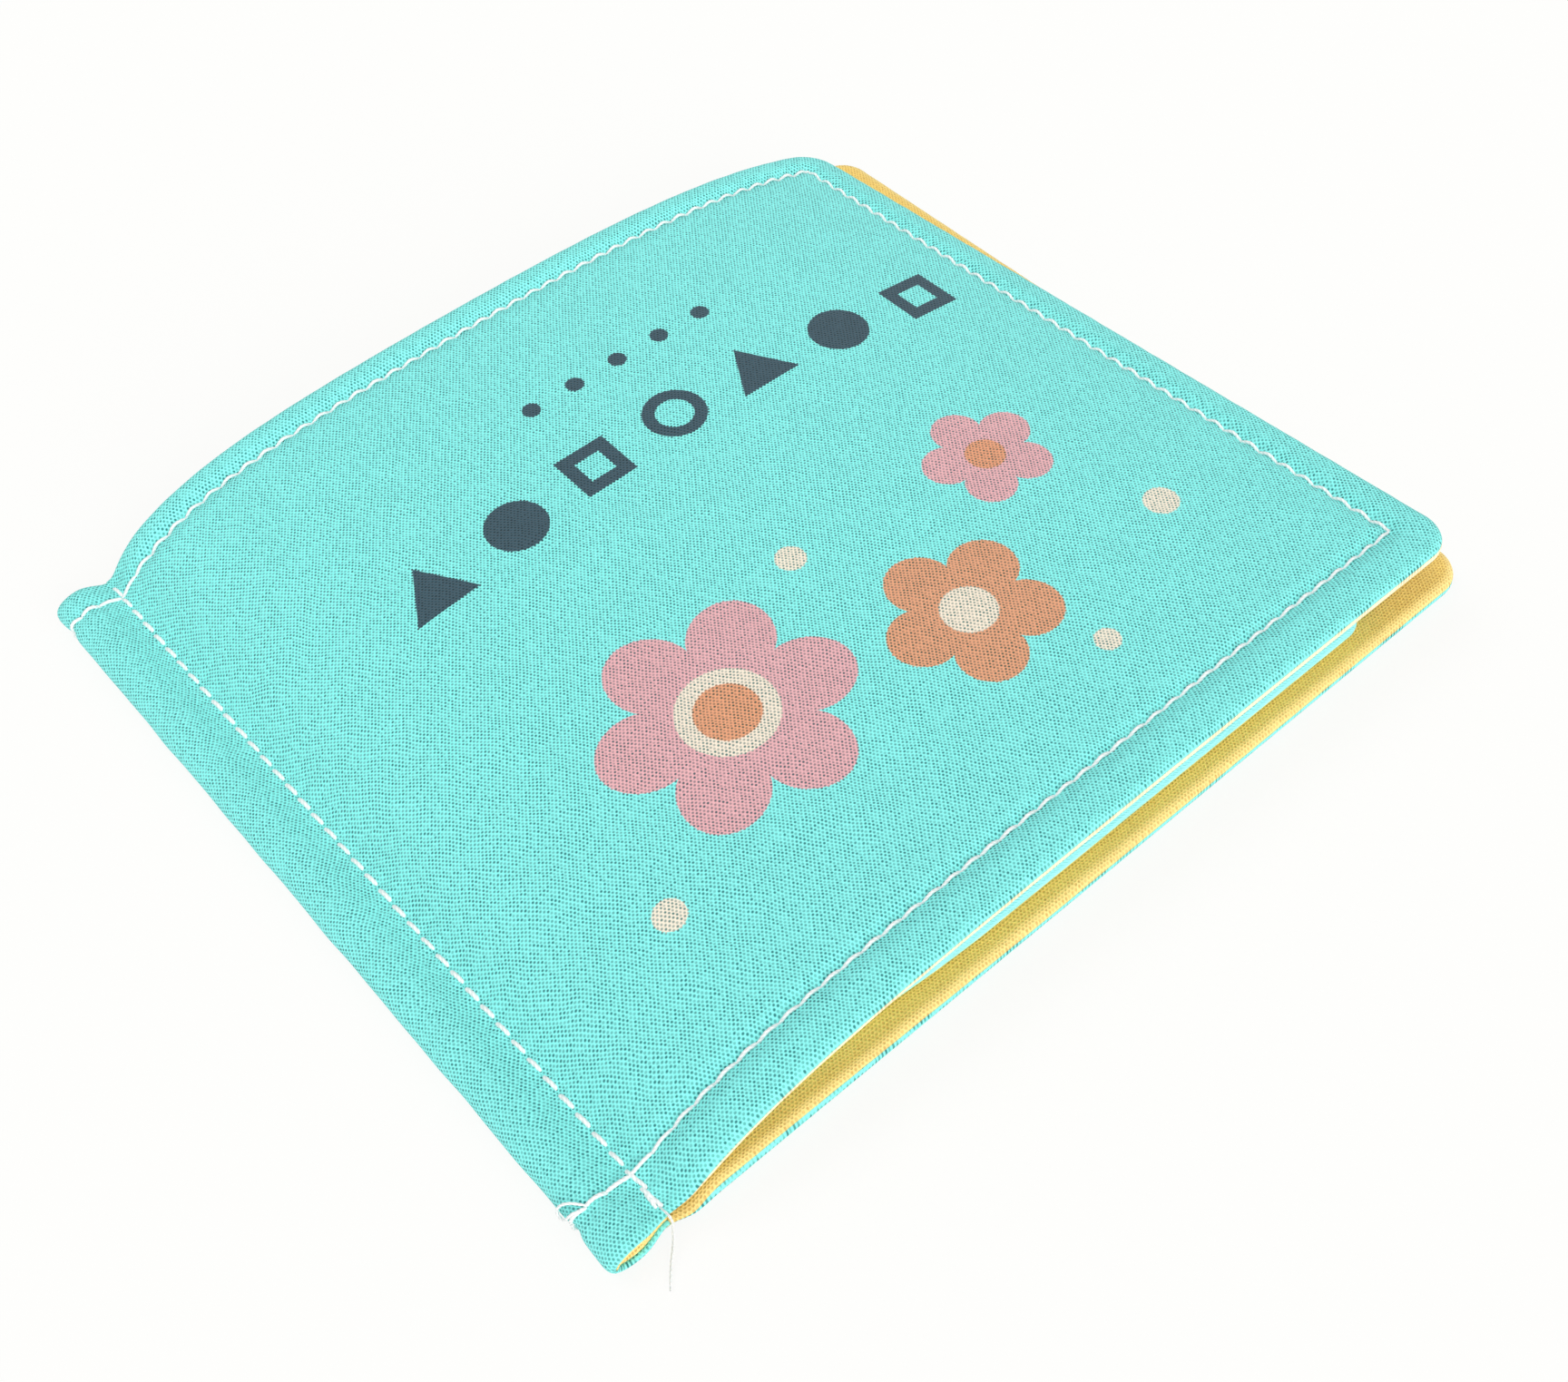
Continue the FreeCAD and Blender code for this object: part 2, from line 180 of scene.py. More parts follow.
def round_factor(d, radius):
    d = np.clip(d, 0.0, radius)
    return np.sqrt(np.maximum(0.0, 1.0 - (1.0 - d / radius) ** 2))


def corner_end(reach, corner, edge_distance):
    inside = np.clip(corner - edge_distance, 0.0, corner)
    return reach - corner + np.sqrt(corner ** 2 - inside ** 2)


def outline_distance(x, y, reach, low, high, corner):
    from_fore = reach - x
    from_side = np.minimum(y - low, high - y)
    plain = np.minimum(from_fore, from_side)
    rounded = corner - np.hypot(corner - from_fore, corner - from_side)
    return np.where((from_fore < corner) & (from_side < corner), rounded, plain)


def notched(x, y):
    pull = EDGE_NOTCH * np.exp(-((x - SEAM_X) / NOTCH_WIDTH) ** 2)
    return y + pull * (smooth(1.0 - y / 12.0) - smooth(1.0 - (BOOK_HEIGHT - y) / 12.0))


# Holes of a stitched line: a whole number of stitches between two points
def holes(first, last):
    count = max(1, round(abs(last - first) / STITCH))
    return np.linspace(first, last, count + 1)


def beat(s, first, last):
    pitch = (last - first) / max(1, round(abs(last - first) / STITCH))
    return np.cos(2 * math.pi * (s - first) / pitch)


def wander(s, seed, long=9.0):
    return (np.sin(s / long * 6.28 + seed) + 0.7 * np.sin(s / long * 9.71 + 2.1 * seed)
            + 0.5 * np.sin(s / long * 15.3 + 3.7 * seed)) / 2.2


def cover_lines(reach):
    return SEAM_X, reach - STITCH_FORE, STITCH_TAIL, BOOK_HEIGHT - STITCH_HEAD


# From 0 inside the topstitching to 1 in the puffed rim outside it
def rim_puff(x, y, reach):
    tail = smooth((STITCH_TAIL + 0.5 - y) / (0.5 * STITCH_TAIL))
    head = smooth((STITCH_HEAD + 0.5 - (BOOK_HEIGHT - y)) / (0.5 * STITCH_HEAD))
    fore = smooth((STITCH_FORE + 0.5 - (reach - x)) / (0.5 * STITCH_FORE))
    return np.maximum(tail, np.maximum(head, fore))


# Half thickness, groove of the topstitching and ripple of the cloth at a place of a cover
def cover_section(x, y, reach, depth=1.0):
    left, right_line, tail, head = cover_lines(reach)
    from_fore = reach - x
    from_head = BOOK_HEIGHT - y
    puff = rim_puff(x, y, reach)
    along_x = smooth((from_fore - STITCH_FORE + 1.0) / 2.0)
    along_y = smooth((y - tail + 1.0) / 2.0) * smooth((head + 1.0 - y) / 2.0)
    spots = [((y - tail), along_x, beat(x, left, right_line)),
             ((y - head), along_x, beat(x, left, right_line)),
             ((x - right_line), along_y, beat(y, tail, head))]
    dent = 0.0
    ripple = 0.0
    for off, along, phase in spots:
        dent = np.maximum(dent, np.exp(-(off / GROOVE_WIDTH) ** 2) * along * (0.86 + 0.16 * phase))
        ripple = ripple - np.exp(-(np.abs(off) / 2.6) ** 1.5) * along * phase * 0.07
    spread = smooth((x - COVER_START) / 8.0)
    s = np.where(from_fore < np.minimum(y, from_head), y, x)
    half = mix(PINCH_HALF, mix(FIELD_HALF, RIM_HALF * (1.0 + 0.035 * wander(s, 1.3 + reach)), puff), spread)
    seam_pull = np.exp(-np.abs((x - SEAM_X) / 2.6) ** 1.4)
    seam_beat = beat(y, SEAM_FIRST, BOOK_HEIGHT - SEAM_LAST)
    pucker = 0.05 * np.exp(-((x - SEAM_X - 3.0) / 2.5) ** 2) * wander(y, 4.0, 11.0)
    seam = seam_pull * (0.06 - 0.16 * seam_beat) - pucker
    return half, dent * spread, ripple * spread + seam * depth


def front_middle(x, y):
    run = x - COVER_START
    ahead = 0.5 * (run + np.sqrt(run * run + 0.5))
    toward_head = y / BOOK_HEIGHT
    rise = mix(RISE_TAIL, RISE_HEAD, toward_head)
    drop = mix(DROP_TAIL, DROP_HEAD, toward_head)
    share = np.clip(run / (FRONT_REACH - COVER_START), 0.0, None)
    return FRONT_SEAM_Z + rise * (1.0 - np.exp(-ahead / RISE_RUN)) - drop * share ** DROP_POWER


def plain_half(x, y, reach):
    puff = rim_puff(x, y, reach)
    return mix(PINCH_HALF, mix(FIELD_HALF, RIM_HALF, puff), smooth((x - COVER_START) / 8.0))


def back_middle(x, y):
    half = plain_half(x, y, BACK_REACH)
    return mix(BACK_SEAM_Z, half + REST_STEP, smooth((x - COVER_START) / SEAM_LIFT_RUN))


def cover_mid(x, y, front):
    z = front_middle(x, y) if front else back_middle(x, y)
    return np.stack([x + 0 * z, notched(x, y) + 0 * z, z], -1)


def cover_normal(x, y, front):
    if not front:
        return np.zeros(np.broadcast(x, y).shape + (3,)) + np.array([0.0, 0.0, 1.0])
    h = 0.15
    du = cover_mid(x + h, y, True) - cover_mid(x - h, y, True)
    dv = cover_mid(x, y + h, True) - cover_mid(x, y - h, True)
    n = np.cross(du, dv)
    return n / np.linalg.norm(n, axis=-1, keepdims=True)


# The sewn line of an edge lies above its outermost point, so the lower cloth wraps up to it.
# Gives the angle round the edge, 0 at the outermost point and 90 at the cloth's face.
def rim_angle(distance, turn):
    from_rim = np.arccos(1.0 - np.clip(distance, 0.0, RIM_ROUND) / RIM_ROUND)
    return turn + from_rim * (1.0 - turn / (math.pi / 2))


# How far round the edge the sewn line lies, from the spine outwards
def seam_turn(x, front, outer):
    if front:
        turn = mix(*FRONT_TURN, smooth((x - 20.0) / 80.0))
    else:
        turn = mix(*BACK_TURN, smooth((x - 25.0) / 60.0))
    wraps = -1.0 if front != outer else 1.0
    return wraps * np.radians(turn) * smooth((x - SEAM_X - 1.0) / 6.0)


# Unit vector in plan from inside a cover to its nearest edge
def outward(x, y, reach):
    h = 0.01
    edge = (0.0, BOOK_HEIGHT, COVER_CORNER)
    dx = outline_distance(x - h, y, reach, *edge) - outline_distance(x + h, y, reach, *edge)
    dy = outline_distance(x, y - h, reach, *edge) - outline_distance(x, y + h, reach, *edge)
    size = np.maximum(np.hypot(dx, dy), 1e-9)
    return dx / size, dy / size


# A point on a cover's cloth; outer is the printed side, otherwise the lining
def cover_point(x, y, front, outer, lift=0.0):
    reach = FRONT_REACH if front else BACK_REACH
    distance = outline_distance(x, y, reach, 0.0, BOOK_HEIGHT, COVER_CORNER)
    half, dent, ripple = cover_section(x, y, reach, 1.0 if outer else 0.4)
    angle = rim_angle(distance, seam_turn(x, front, outer))
    shift_out = np.where(distance < RIM_ROUND, distance - RIM_ROUND * (1.0 - np.cos(angle)), 0.0)
    soft = np.sin(angle) * round_factor(x - SEAM_X + 0.35, 0.5)
    share = 1.0 if outer else 0.6
    flat = 0.0 if (outer and not front) else 1.0
    level = CLOTH_GAP / 2 + np.maximum(0.06, half - share * dent + flat * ripple - CLOTH_GAP / 2) * soft
    if outer and not front:
        lowered = (REST_STEP - 0.03) * smooth((x - COVER_START) / SEAM_LIFT_RUN)
        level = level + lowered * np.clip(soft, 0.0, 1.0)
    side = (1.0 if outer else -1.0) * (1.0 if front else -1.0)
    n = cover_normal(x, y, front)
    ox, oy = outward(x, y, reach)
    mid = cover_mid(x, y, front) + np.stack([ox, oy, 0 * ox], -1) * shift_out[..., None]
    return mid + n * (side * (level + lift))[..., None], n * side


# The hidden side of that cloth
def cover_mate(x, y, front, outer):
    reach = FRONT_REACH if front else BACK_REACH
    distance = outline_distance(x, y, reach, 0.0, BOOK_HEIGHT, COVER_CORNER)
    turn = seam_turn(x, front, outer)
    fade = 1.0 - smooth(distance / RIM_ROUND)
    level = CLOTH_GAP / 2 + plain_half(x, y, reach) * np.sin(turn) * fade
    inward = RIM_ROUND * (1.0 - np.cos(turn)) * fade
    side = (1.0 if outer else -1.0) * (1.0 if front else -1.0)
    ox, oy = outward(x, y, reach)
    mid = cover_mid(x, y, front) - np.stack([ox, oy, 0 * ox], -1) * inward[..., None]
    return mid + cover_normal(x, y, front) * (side * level)[..., None]


# Meshes
def rim_steps(radius, count=8):
    return [radius * (1.0 - math.cos(math.radians(90.0 * k / count))) for k in range(count + 1)]


def line_steps(start, stop, step):
    count = max(1, int(math.ceil((stop - start) / step)))
    return list(np.linspace(start, stop, count + 1)[1:])


def side_rows(length, near_tail, near_head):
    tail = rim_steps(RIM_ROUND) + line_steps(RIM_ROUND, near_tail, FINE_STEP)
    head = rim_steps(RIM_ROUND) + line_steps(RIM_ROUND, near_head, FINE_STEP)
    middle = line_steps(near_tail, length - near_head, WIDE_STEP)[:-1]
    return np.array(tail + middle + [length - d for d in reversed(head)])


def mesh_from(name, points, faces, maps, materials, face_slots):
    points = metres(points)
    faces = np.asarray(faces, np.int32)
    if volume_of(points, faces) < 0:
        faces = faces[:, ::-1].copy()
    mesh = bpy.data.meshes.new(name)
    mesh.vertices.add(len(points))
    mesh.vertices.foreach_set("co", points.astype(np.float32).ravel())
    mesh.loops.add(faces.size)
    mesh.loops.foreach_set("vertex_index", faces.ravel())
    mesh.polygons.add(len(faces))
    mesh.polygons.foreach_set("loop_start", np.arange(0, faces.size, 4, dtype=np.int32))
    mesh.polygons.foreach_set("loop_total", np.full(len(faces), 4, np.int32))
    mesh.polygons.foreach_set("use_smooth", np.ones(len(faces), bool))
    mesh.polygons.foreach_set("material_index", np.asarray(face_slots, np.int32))
    mesh.update(calc_edges=True)
    for key, values in maps.items():
        layer = mesh.uv_layers.new(name=key)
        layer.data.foreach_set("uv", np.asarray(values, np.float32)[faces.ravel()].ravel())
    for material in materials:
        mesh.materials.append(material)
    obj = bpy.data.objects.new(name, mesh)
    bpy.context.scene.collection.objects.link(obj)
    return obj


def volume_of(points, faces):
    p = points[faces]
    a, b, c, d = p[:, 0], p[:, 1], p[:, 2], p[:, 3]
    return (np.einsum("ij,ij->i", a, np.cross(b, c)) + np.einsum("ij,ij->i", a, np.cross(c, d))).sum()


# Two grids with the same border become one closed cloth
def closed_cloth(name, face, mate, sheet_map, edge_map, materials):
    rows, cols = face.shape[:2]
    top = np.arange(rows * cols).reshape(rows, cols)
    low = top.copy()
    low[1:-1, 1:-1] = rows * cols + np.arange((rows - 2) * (cols - 2)).reshape(rows - 2, cols - 2)
    points = np.concatenate([face.reshape(-1, 3), mate[1:-1, 1:-1].reshape(-1, 3)])
    sheet = np.concatenate([sheet_map.reshape(-1, 2), sheet_map[1:-1, 1:-1].reshape(-1, 2)])
    edge = np.concatenate([edge_map.reshape(-1, 2), edge_map[1:-1, 1:-1].reshape(-1, 2)])

    def quads(ids):
        return np.stack([ids[:-1, :-1], ids[:-1, 1:], ids[1:, 1:], ids[1:, :-1]], -1).reshape(-1, 4)

    first = quads(top)
    second = quads(low)[:, ::-1]
    faces = np.concatenate([first, second])
    slots = [0] * len(first) + [len(materials) - 1] * len(second)
    return mesh_from(name, points, faces, {"sheet": sheet, "edge": edge}, materials, slots)


def cover_grid(front):
    reach = FRONT_REACH if front else BACK_REACH
    y = side_rows(BOOK_HEIGHT, FINE_TAIL, FINE_HEAD)
    end = corner_end(reach, COVER_CORNER, np.minimum(y, BOOK_HEIGHT - y))[:, None]
    start = SEAM_X - 0.35
    first = [0.0, 0.05, 0.15, 0.3] + line_steps(0.3, 6.0, 0.47)
    last = rim_steps(RIM_ROUND) + line_steps(RIM_ROUND, FINE_FORE, FINE_STEP)
    share = np.linspace(0, 1, int((reach - 24.0) / 0.98))[1:-1]
    near = start + np.array(first)[None, :] + 0 * end
    far = end - np.array(last[::-1])[None, :]
    middle = mix(start + 6.0, end - FINE_FORE, share[None, :])
    x = np.concatenate([near, middle, far], 1)
    return x, y[:, None] + 0 * x, reach


def cover_cloth(name, front, outer, materials):
    x, y, reach = cover_grid(front)
    face = cover_point(x, y, front, outer)[0]
    mate = cover_mate(x, y, front, outer)
    distance = outline_distance(x, y, reach, 0.0, BOOK_HEIGHT, COVER_CORNER)
    sheet = np.stack([x, y], -1) * 0.01
    edge = np.stack([np.maximum(distance, 0.0), x - SEAM_X], -1) * 0.01
    return closed_cloth(name, face, mate, sheet, edge, materials)


# Spine strip
def strip_path():
    centre = (STRIP_HEIGHT + STRIP_BASE) / 2
    tall = STRIP_HEIGHT - centre
    seam_top = FRONT_SEAM_Z + PINCH_HALF - 0.02
    seam_bottom = BACK_SEAM_Z - PINCH_HALF
    flank = SEAM_X - 0.4 - STRIP_ROUND
    xs = np.linspace(SEAM_X + 0.35, STRIP_ROUND, 19)
    top = [(x, mix(STRIP_HEIGHT, seam_top, smooth((x - STRIP_ROUND) / flank))) for x in xs[:-1]]
    fold = [(STRIP_ROUND + STRIP_ROUND * math.cos(a), centre + tall * math.sin(a))
            for a in np.radians(np.linspace(90, 270, 33))]
    low = [(x, mix(STRIP_BASE, seam_bottom, smooth((x - STRIP_ROUND) / flank))) for x in xs[::-1][1:]]
    return np.array(top + fold + low, float)


STRIP = strip_path()
STRIP_ALONG = np.concatenate([[0], np.cumsum(np.linalg.norm(np.diff(STRIP, axis=0), axis=1))])


def strip_frame(s):
    x = np.interp(s, STRIP_ALONG, STRIP[:, 0])
    z = np.interp(s, STRIP_ALONG, STRIP[:, 1])
    h = 0.35
    dx = np.interp(s + h, STRIP_ALONG, STRIP[:, 0]) - np.interp(s - h, STRIP_ALONG, STRIP[:, 0])
    dz = np.interp(s + h, STRIP_ALONG, STRIP[:, 1]) - np.interp(s - h, STRIP_ALONG, STRIP[:, 1])
    size = np.hypot(dx, dz)
    return x, z, dz / size, -dx / size


# How far the outer cloth of the strip stands off its path: puffed ends, grooves and seam
def strip_skin(s, y):
    x, z = strip_frame(s)[:2]
    length = STRIP_ALONG[-1]
    from_head = BOOK_HEIGHT - y
    puff = 0.25 * np.maximum(smooth(1.3 - y / STITCH_TAIL), smooth(1.3 - from_head / STITCH_HEAD))
    phase = beat(s, 0.6, length - 0.6)
    dent = 0.0
    ripple = 0.0
    for off in (y - STITCH_TAIL, from_head - STITCH_HEAD):
        dent = np.maximum(dent, np.exp(-(off / GROOVE_WIDTH) ** 2) * (0.40 + 0.10 * phase))
        ripple = ripple - 0.06 * phase * np.exp(-(np.abs(off) / 2.4) ** 1.5)
    away = smooth((SEAM_X - 0.6 - x) / 2.0)
    over = smooth((z - STRIP_BASE - 0.5) / 1.5)
    seam_beat = beat(y, SEAM_FIRST, BOOK_HEIGHT - SEAM_LAST)
    seam = np.exp(-np.abs((x - SEAM_X) / 2.2) ** 1.4) * (0.05 - 0.15 * seam_beat) * over
    body = 0.10 * wander(y, 2.0, 23.0) * over * away * smooth(s / 3.0)
    return (puff * over - dent * over + ripple * over + body) * away + seam


def strip_point(s, y, lift=0.0):
    x, z, nx, nz = strip_frame(s)
    level = strip_skin(s, y) + lift
    point = np.stack([x + nx * level, notched(x, y) + 0 * level, z + nz * level], -1)
    return point, np.stack([nx + 0 * level, 0 * level, nz + 0 * level], -1)


# The strip's outer cloth, or its lining with a thicker hem at both ends
def spine_piece(name, lining, material):
    y = side_rows(BOOK_HEIGHT, FINE_TAIL, FINE_HEAD)[:, None]
    length = STRIP_ALONG[-1]
    s = np.concatenate([[0.0, 0.05, 0.15], np.linspace(0.4, length - 0.4, 52),
                        [length - 0.15, length - 0.05, length]])[None, :]
    s, y = s + 0 * y, y + 0 * s
    x, z, nx, nz = strip_frame(s)
    from_end = np.minimum(y, BOOK_HEIGHT - y)
    low_side = smooth((0.62 * STRIP_HEIGHT - z) / 1.5)
    turn = np.radians(mix(*STRIP_TURN, low_side)) * (1.0 if lining else -1.0)
    angle = rim_angle(from_end, turn)
    shift_out = np.where(from_end < RIM_ROUND, from_end - RIM_ROUND * (1.0 - np.cos(angle)), 0.0)
    shift_out = np.where(y < 0.5 * BOOK_HEIGHT, -shift_out, shift_out)
    inward = RIM_ROUND * (1.0 - np.cos(turn)) * (1.0 - smooth(from_end / RIM_ROUND))
    inward = np.where(y < 0.5 * BOOK_HEIGHT, inward, -inward)
    ends = round_factor(np.minimum(s, length - s), 0.3)
    room = np.where(x > STRIP_ROUND, np.abs(z - strip_frame(length - s)[1]) / 2, 2.7) - 0.85 - STRIP_LINING
    hem = smooth((7.0 - from_end) / 5.0) * (1.0 - 0.55 * np.exp(-((s - length / 2) / 2.5) ** 2))
    thick = STRIP_LINING + np.clip(room, 0.0, 1.15) * hem if lining else STRIP_CLOTH + strip_skin(s, y)
    fade = 1.0 - smooth(from_end / RIM_ROUND)
    mate = (-STRIP_CLOTH - CLOTH_GAP) if lining else -STRIP_CLOTH
    side = -1.0 if lining else 1.0
    face_level = mate + side * thick * np.sin(angle) * ends
    mate_level = mate + side * thick * np.sin(turn) * fade * ends

    def at(level, along):
        return np.stack([x + nx * level, notched(x, y) + along, z + nz * level], -1)

    sheet = np.stack([s, y], -1) * 0.01
    edge = np.stack([np.minimum(y, BOOK_HEIGHT - y), 0 * s], -1) * 0.01
    return closed_cloth(name, at(face_level, shift_out), at(mate_level, inward), sheet, edge, [material])


# Page sheet
# The page sheet's edges draw in toward the seam
def page_low_edge(x):
    return mix(PAGE_INSET_SEAM, PAGE_INSET, smooth((x - COVER_START) / 60.0))


def page_half(x, y):
    from_side = np.minimum(y - page_low_edge(x), BOOK_HEIGHT - page_low_edge(x) - y)
    puff = smooth((5.0 - from_side) / 3.0)
    return mix(PAGE_PINCH_HALF, mix(PAGE_FIELD_HALF, PAGE_RIM_HALF, puff), smooth((x - SEAM_X) / 9.0))


def leaf_z(x, y, upper):
    half = page_half(x, y)
    back_top = back_middle(x, y) + plain_half(x, y, BACK_REACH)
    low = mix(PAGE_SEAM_LOW, back_top + PAGE_CLEAR + half, smooth((x - SEAM_X - 0.5) / 7.0))
    if not upper:
        return low
    spread = smooth((x - SEAM_X - 0.5) / 7.0)
    fan = PAGE_FAN * (1.0 - y / BOOK_HEIGHT) * smooth((x - 30.0) / 60.0)
    return low + 2.0 * half + mix(PAGE_SEAM_GAP, PAGE_CLEAR, spread) + fan


def page_piece(name, materials):
    rim = rim_steps(PAGE_RIM_ROUND, 6)
    half_height = BOOK_HEIGHT / 2
    depths = rim + line_steps(PAGE_RIM_ROUND, PAGE_FINE, PAGE_FINE_STEP)
    depths = depths + line_steps(PAGE_FINE, half_height, PAGE_WIDE_STEP)
    depths = depths + [BOOK_HEIGHT - d for d in reversed(depths[:-1])]
    mids = []
    amounts = []
    edges = []
    alongs = []
    for d in depths:
        head_side = d > half_height
        depth = BOOK_HEIGHT - d if head_side else d
        row = []
        for upper, reach in ((True, PAGE_REACH_UPPER), (False, PAGE_REACH_LOWER)):
            end = corner_end(reach, PAGE_CORNER, depth)
            x = np.concatenate([np.linspace(SEAM_X - 4.5, SEAM_X + 10.0, 22)[:-1],
                                np.linspace(SEAM_X + 10.0, end - 3.0, 90)[:-1],
                                end - np.array([3.0, 2.5, 2.0, 1.6]), end - np.array(rim[::-1])])
            low = page_low_edge(x)
            share = depth / half_height
            y = low + (half_height - low) * share if depth > PAGE_FINE else low + depth
            if head_side:
                y = BOOK_HEIGHT - y
            y = y + 0 * x
            z = leaf_z(x, y, upper)
            distance = outline_distance(x, y, reach, low, BOOK_HEIGHT - low, PAGE_CORNER)
            amount = page_half(x, y) * round_factor(distance, PAGE_RIM_ROUND)
            amount = amount * (1.0 + 0.04 * wander(y + x, 0.7 if upper else 2.9, 12.0))
            leaf = (np.stack([x, y, z], -1), amount, np.maximum(distance, 0.0))
            row.append(leaf)
        (top, top_amount, top_edge), (low_p, low_amount, low_edge) = row
        top, top_amount, top_edge = top[::-1], top_amount[::-1], top_edge[::-1]
        a = np.radians(np.linspace(90, 270, 13))
        radius = (top[-1][2] - low_p[0][2]) / 2
        centre = (top[-1][2] + low_p[0][2]) / 2
        bend = np.stack([PAGE_FOLD_X + radius * np.cos(a), 0 * a + top[-1][1],
                         centre + radius * np.sin(a)], -1)
        bend_amount = 0 * a + PAGE_PINCH_HALF * float(round_factor(np.array(depth), PAGE_RIM_ROUND))
        mids.append(np.concatenate([top, bend, low_p]))
        amounts.append(np.concatenate([top_amount, bend_amount, low_amount]))
        edges.append(np.concatenate([top_edge, 0 * a + depth, low_edge]))
        alongs.append(np.concatenate([np.arange(len(top)), len(top) + np.arange(len(a)),
                                      len(top) + len(a) + np.arange(len(low_p))]))
    mid = np.array(mids)
    amount = np.array(amounts)[..., None]
    du = np.gradient(mid, axis=1)
    dv = np.gradient(mid, axis=0)
    n = np.cross(du, dv)
    n = n / np.maximum(np.linalg.norm(n, axis=-1, keepdims=True), 1e-9)
    step = np.linalg.norm(np.diff(mid, axis=1), axis=-1)
    along = np.concatenate([np.zeros((len(mid), 1)), np.cumsum(step, 1)], 1)
    sheet = np.stack([along, mid[..., 1]], -1) * 0.01
    edge = np.stack([np.array(edges), 0 * along], -1) * 0.01
    return closed_cloth(name, mid - n * amount, mid + n * amount, sheet, edge, materials)


# Threads
class Threads:
    """Tubes of sewing thread, gathered into one mesh."""

    def __init__(self):
        self.points = []
        self.faces = []
        self.maps = []
        self.count = 0
        self.seed = 0

    def tube(self, path, hint, radius, sides=8, taper=0.35):
        path = np.asarray(path, float)
        ahead = np.gradient(path, axis=0)
        ahead = ahead / np.linalg.norm(ahead, axis=1, keepdims=True)
        hint = np.asarray(hint, float) + 0 * path
        side = np.cross(ahead, hint)
        side = side / np.linalg.norm(side, axis=1, keepdims=True)
        over = np.cross(side, ahead)
        along = np.concatenate([[0], np.cumsum(np.linalg.norm(np.diff(path, axis=0), axis=1))])
        share = along / along[-1]
        thin = 1.0 - (1.0 - taper) * np.maximum(smooth(1 - share / 0.14), smooth(1 - (1 - share) / 0.14))
        angles = np.arange(sides + 1) * 2 * math.pi / sides
        rings = []
        uvs = []
        for i, centre in enumerate(path):
            twist = along[i] / 1.5 * 2 * math.pi + self.seed
            r = radius * thin[i] * (1.0 + 0.10 * np.cos(2 * (angles[:-1] - twist)))
            rings.append(centre + side[i] * (r * np.cos(angles[:-1]))[:, None]
                         + over[i] * (r * np.sin(angles[:-1]))[:, None])
            uvs.append(np.stack([0 * angles[:-1] + along[i], angles[:-1] / (2 * math.pi)], -1))
        base = self.count
        count = len(path)
        ids = base + np.arange(count * sides).reshape(count, sides)
        quads = np.stack([ids[:-1], ids[1:], np.roll(ids[1:], -1, 1), np.roll(ids[:-1], -1, 1)], -1)
        quads = quads.reshape(-1, 4)
        tips = base + count * sides + np.arange(2)
        first_tip = path[:1] - ahead[:1] * radius * 0.3
        last_tip = path[-1:] + ahead[-1:] * radius * 0.3
        self.points.append(np.concatenate([np.array(rings).reshape(-1, 3), first_tip, last_tip]))
        self.maps.append(np.concatenate([np.array(uvs).reshape(-1, 2), [[0, 0.5]], [[along[-1], 0.5]]]))
        caps = []
        for k in range(0, sides, 2):
            caps.append([tips[0], ids[0][(k + 2) % sides], ids[0][(k + 1) % sides], ids[0][k]])
            caps.append([tips[1], ids[-1][k], ids[-1][(k + 1) % sides], ids[-1][(k + 2) % sides]])
        self.faces.append(quads)
        self.faces.append(np.array(caps))
        self.count += count * sides + 2
        self.seed += 1.7

    # A stitch from one hole to the next: it dips at both holes and lies on the cloth between
    def stitch(self, surface, a, b, radius, slant=0.09, sink=0.42, share=1.0, taper=0.35):
        t = np.linspace(0.0, 1.0, 13)
        jitter = 0.05 * math.sin(7.3 * self.seed)
        bow = np.sin(math.pi * t) ** 0.55
        lift = -sink + (sink + radius * 0.92 + 0.03) * bow
        a, b = np.asarray(a, float), np.asarray(b, float)
        run = b - a
        across = np.array([-run[1], run[0]]) / np.linalg.norm(run)
        spot = a[None, :] + run[None, :] * (0.5 + share * (t - 0.5))[:, None]
        spot = spot + across[None, :] * (slant * (2 * t - 1) + jitter)[:, None]
        points, n = surface(spot[:, 0], spot[:, 1], lift)
        self.tube(points, n, radius * (1 + 0.06 * math.sin(3.1 * self.seed)), taper=taper)

    def piece(self, name, material):
        points = np.concatenate(self.points)
        faces = np.concatenate(self.faces)
        maps = np.concatenate(self.maps)
        return mesh_from(name, points, faces, {"sheet": maps}, [material], [0] * len(faces))


def run_stitches(threads, surface, spots, radius, **options):
    for a, b in zip(spots[:-1], spots[1:]):
        threads.stitch(surface, a, b, radius, **options)


def cover_threads(name, front, outer, material):
    reach = FRONT_REACH if front else BACK_REACH
    left, right_line, tail, head = cover_lines(reach)

    def surface(x, y, lift):
        return cover_point(x, y, front, outer, lift)

    xs = holes(left, right_line)
    ys = holes(tail, head)
    threads = Threads()
    snug = {"sink": 0.16, "slant": 0.06, "share": 1.03, "taper": 0.7}
    run_stitches(threads, surface, [(x, tail) for x in xs], THREAD, **snug)
    run_stitches(threads, surface, [(right_line, y) for y in ys], THREAD, **snug)
    run_stitches(threads, surface, [(x, head) for x in xs[::-1]], THREAD, **snug)
    return threads.piece(name, material)


